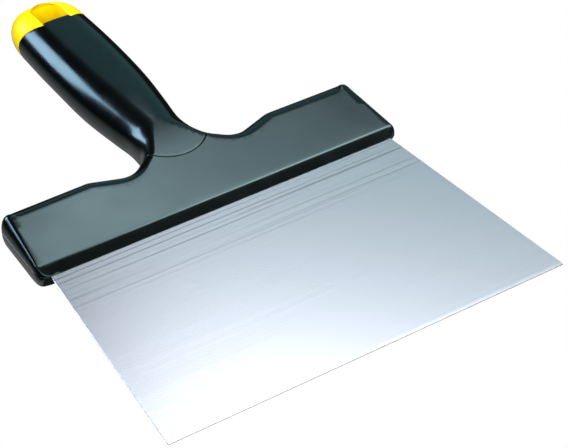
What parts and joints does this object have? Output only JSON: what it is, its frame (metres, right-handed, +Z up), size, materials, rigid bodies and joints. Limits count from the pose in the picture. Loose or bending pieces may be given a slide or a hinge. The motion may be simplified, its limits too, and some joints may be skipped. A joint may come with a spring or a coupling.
{
  "type": "flexible putty knife",
  "caption": "Wide flexible filling knife: spring-steel blade clamped in a hollow two-shell black head, with a moulded grip and an end cap that has a hanging hole.",
  "frame": {"origin": "on the bench under the middle of the knife's outline, level with the head's flat underside and the grip's belly", "axes": "+Z up from the bench through the blade, +X along the blade's edge, +Y from the blade's edge towards the end cap"},
  "size_m": [0.2, 0.2972, 0.025],
  "materials": {
    "blade_steel": "rolled spring steel, finely ground across its width",
    "head_plastic": "glossy black moulding",
    "grip_plastic": "glossy black moulding, a little softer than the head",
    "cap_plastic": "satin yellow moulding",
    "core_plastic": "plain moulded, hidden",
    "screw_steel": "zinc plated",
    "tang_steel": "plain rolled, hidden"
  },
  "bodies": {
    "handle": {"blade_heel": "blade_steel", "head_top": "head_plastic", "head_bottom": "head_plastic", "head_screws": "screw_steel", "tang": "tang_steel", "tang_rivets": "tang_steel", "handle_core": "core_plastic", "core_pin": "tang_steel", "handle_grip": "grip_plastic", "end_cap": "cap_plastic"},
    "blade": {"blade": "blade_steel"}
  },
  "joints": [
    {"name": "blade_flex", "type": "hinge", "parent": "handle", "child": "blade", "pos_m": [0, -0.05153, 0.013], "axis": [1, 0, 0], "range_deg": [-25, 25], "stiffness_Nm_per_rad": 7.8}
  ]
}
